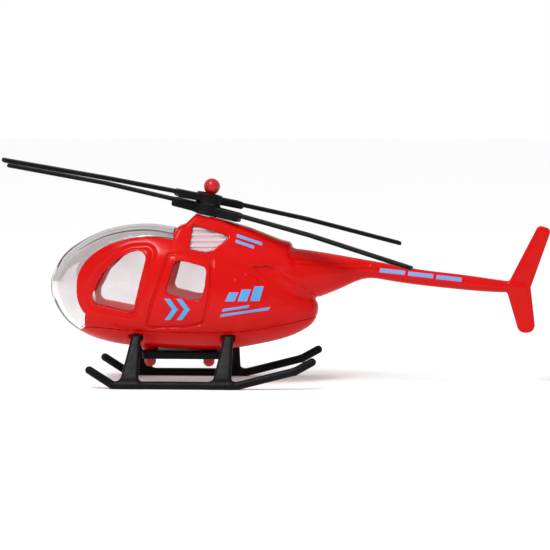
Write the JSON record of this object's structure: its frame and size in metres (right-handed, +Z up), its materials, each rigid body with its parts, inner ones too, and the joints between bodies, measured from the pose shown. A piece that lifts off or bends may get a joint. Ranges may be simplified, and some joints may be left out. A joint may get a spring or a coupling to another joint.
{
  "type": "helicopter scale model",
  "caption": "Small red toy helicopter with a clear bubble nose, forked tail fin, black skids and black rotors that turn freely on a tilted ball-headed pin.",
  "frame": {"origin": "centre of the object's box on the ground plane that the skids stand on", "axes": "+X aft towards the tail fin, -X the nose, -Y the left side, +Z up"},
  "size_m": [0.177, 0.071, 0.0734],
  "materials": {
    "red_paint": "gloss",
    "red_plastic": "gloss",
    "black_plastic": "satin",
    "clear_plastic": "gloss",
    "steel": "satin"
  },
  "bodies": {
    "airframe": {"upper_body": "red_paint", "belly_pan": "red_paint", "canopy": "clear_plastic", "left_side_glazing": "clear_plastic", "right_side_glazing": "clear_plastic", "left_louvre_glazing": "clear_plastic", "right_louvre_glazing": "clear_plastic", "rotor_pin": "red_plastic", "rotor_pin_clip": "steel", "hub_seat_washer": "steel", "rotor_spacer": "steel", "belly_plate": "black_plastic", "left_skid_frame": "black_plastic", "right_skid_frame": "black_plastic", "front_push_pin": "red_plastic", "rear_push_pin": "red_plastic"},
    "lower_rotor": {"lower_rotor": "black_plastic"},
    "upper_rotor": {"upper_rotor": "black_plastic"}
  },
  "joints": [
    {"name": "lower_rotor_spin", "type": "hinge", "parent": "airframe", "child": "lower_rotor", "pos_m": [-0.02087, 0, 0.05661], "axis": [0.225, 0, 0.9744], "continuous": true},
    {"name": "upper_rotor_spin", "type": "hinge", "parent": "airframe", "child": "upper_rotor", "pos_m": [-0.0202, 0, 0.05953], "axis": [0.225, 0, 0.9744], "continuous": true}
  ]
}
